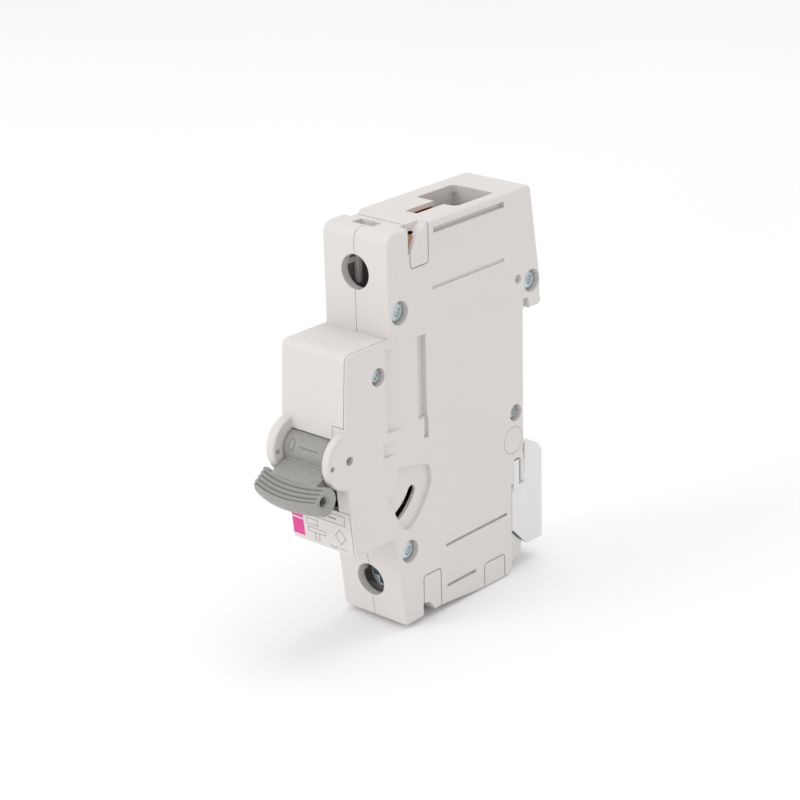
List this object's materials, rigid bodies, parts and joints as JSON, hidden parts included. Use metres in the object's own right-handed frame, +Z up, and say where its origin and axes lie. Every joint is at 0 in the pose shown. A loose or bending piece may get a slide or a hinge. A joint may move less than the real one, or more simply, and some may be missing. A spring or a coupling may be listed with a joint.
{
  "type": "circuit breaker",
  "caption": "Single pole miniature circuit breaker for a DIN rail, with toggle lever, screw terminals, trip mechanism and sliding rail clip.",
  "frame": {"origin": "centre of the flat rear face that rests on the rail", "axes": "+Z up, +X to the right of the breaker seen from the operator, -Y towards the operator"},
  "size_m": [0.018, 0.0761, 0.0895],
  "materials": {
    "steel": "bare steel",
    "copper": "bare copper, dull",
    "fibre": "pressed fibre board",
    "black_plastic": "moulded plastic",
    "braid": "fine copper wire, plaited",
    "spring_steel": "drawn wire",
    "clip": "translucent natural plastic",
    "silver": "silver alloy contact",
    "housing": "fine satin moulded plastic, warm light grey",
    "lever": "satin moulded plastic, mid grey",
    "zinc_steel": "zinc plated steel",
    "enamelled_copper": "enamelled copper wire"
  },
  "bodies": {
    "root": {"arc_plate_1": "steel", "arc_plate_2": "steel", "arc_plate_3": "steel", "arc_plate_4": "steel", "arc_plate_5": "steel", "arc_plate_6": "steel", "arc_plate_7": "steel", "arc_plate_8": "steel", "arc_runner": "copper", "bimetal_bracket": "steel", "calibrating_screw": "steel", "carrier_pin": "steel", "chute_side_left": "fibre", "chute_side_right": "fibre", "coil_bobbin": "black_plastic", "contact_arm_braid": "braid", "contact_spring": "spring_steel", "din_clip_spring": "spring_steel", "fixed_contact_plate": "copper", "fixed_contact_tip": "silver", "fixed_core": "steel", "left_housing": "housing", "lever_pin": "steel", "lower_terminal_plate": "copper", "magnet_yoke": "steel", "plunger_spring": "spring_steel", "right_housing": "housing", "rivet_front_lower": "zinc_steel", "rivet_front_upper": "zinc_steel", "rivet_nose": "zinc_steel", "rivet_rear_lower": "zinc_steel", "rivet_rear_upper": "zinc_steel", "solenoid_coil": "enamelled_copper", "terminal_braid": "braid", "trip_lever_pin": "steel", "upper_terminal_plate": "copper"},
    "lever": {"lever": "lever", "lever_spring": "spring_steel"},
    "lever_link": {"lever_link": "steel"},
    "contact_carrier": {"contact_carrier": "black_plastic", "contact_arm": "copper", "moving_contact_tip": "silver"},
    "plunger": {"plunger": "steel"},
    "trip_lever": {"trip_lever": "black_plastic"},
    "bimetal_strip": {"bimetal_strip": "steel"},
    "upper_terminal_screw": {"upper_terminal_screw": "zinc_steel"},
    "lower_terminal_screw": {"lower_terminal_screw": "zinc_steel"},
    "upper_clamp_cage": {"upper_clamp_cage": "zinc_steel"},
    "lower_clamp_cage": {"lower_clamp_cage": "zinc_steel"},
    "din_clip": {"din_clip": "clip"}
  },
  "joints": [
    {"name": "lever_turn", "type": "hinge", "parent": "root", "child": "lever", "pos_m": [0, -0.057, -0.0002], "axis": [-1, 0, 0], "range_deg": [0, 82]},
    {"name": "link_turn", "type": "hinge", "parent": "lever", "child": "lever_link", "pos_m": [0, -0.05136, 0.00185], "axis": [1, 0, 0], "range_deg": [0, 112.4]},
    {"name": "carrier_turn", "type": "hinge", "parent": "root", "child": "contact_carrier", "pos_m": [0, -0.037, -0.01], "axis": [1, 0, 0], "range_deg": [0, 20.1], "deforming": ["contact_spring"]},
    {"name": "plunger_slide", "type": "slide", "parent": "root", "child": "plunger", "axis": [0, 1, 0], "range_m": [0, 0.003], "stiffness_N_per_m": 100, "springref_m": -0.0005, "deforming": ["plunger_spring"]},
    {"name": "trip_lever_turn", "type": "hinge", "parent": "root", "child": "trip_lever", "pos_m": [0, -0.0335, 0.002], "axis": [-1, 0, 0], "range_deg": [0, 12.8]},
    {"name": "bimetal_bend", "type": "hinge", "parent": "root", "child": "bimetal_strip", "pos_m": [0, -0.0442, -0.0152], "axis": [-1, 0, 0], "range_deg": [0, 3.5], "stiffness_Nm_per_rad": 0.01},
    {"name": "upper_screw_turn", "type": "hinge", "parent": "root", "child": "upper_terminal_screw", "pos_m": [0, -0.037, 0.0351], "axis": [0, 1, 0], "range_deg": [0, 2700]},
    {"name": "upper_cage_slide", "type": "slide", "parent": "root", "child": "upper_clamp_cage", "axis": [0, -1, 0], "range_m": [0, 0.006]},
    {"name": "lower_screw_turn", "type": "hinge", "parent": "root", "child": "lower_terminal_screw", "pos_m": [0, -0.037, -0.0351], "axis": [0, 1, 0], "range_deg": [0, 2700]},
    {"name": "lower_cage_slide", "type": "slide", "parent": "root", "child": "lower_clamp_cage", "axis": [0, -1, 0], "range_m": [0, 0.006]},
    {"name": "din_clip_slide", "type": "slide", "parent": "root", "child": "din_clip", "axis": [0, 0, -1], "range_m": [0, 0.005], "stiffness_N_per_m": 900, "springref_m": -0.001, "deforming": ["din_clip_spring"]}
  ],
  "couplings": [
    {"joint": "link_turn", "follows": "lever_turn", "ratio": 1.3695},
    {"joint": "carrier_turn", "follows": "lever_turn", "ratio": 0.2439},
    {"joint": "trip_lever_turn", "follows": "plunger_slide", "rad_per_m": 74},
    {"joint": "upper_screw_turn", "follows": "upper_cage_slide", "rad_per_m": 7853.9},
    {"joint": "lower_screw_turn", "follows": "lower_cage_slide", "rad_per_m": 7853.9}
  ]
}
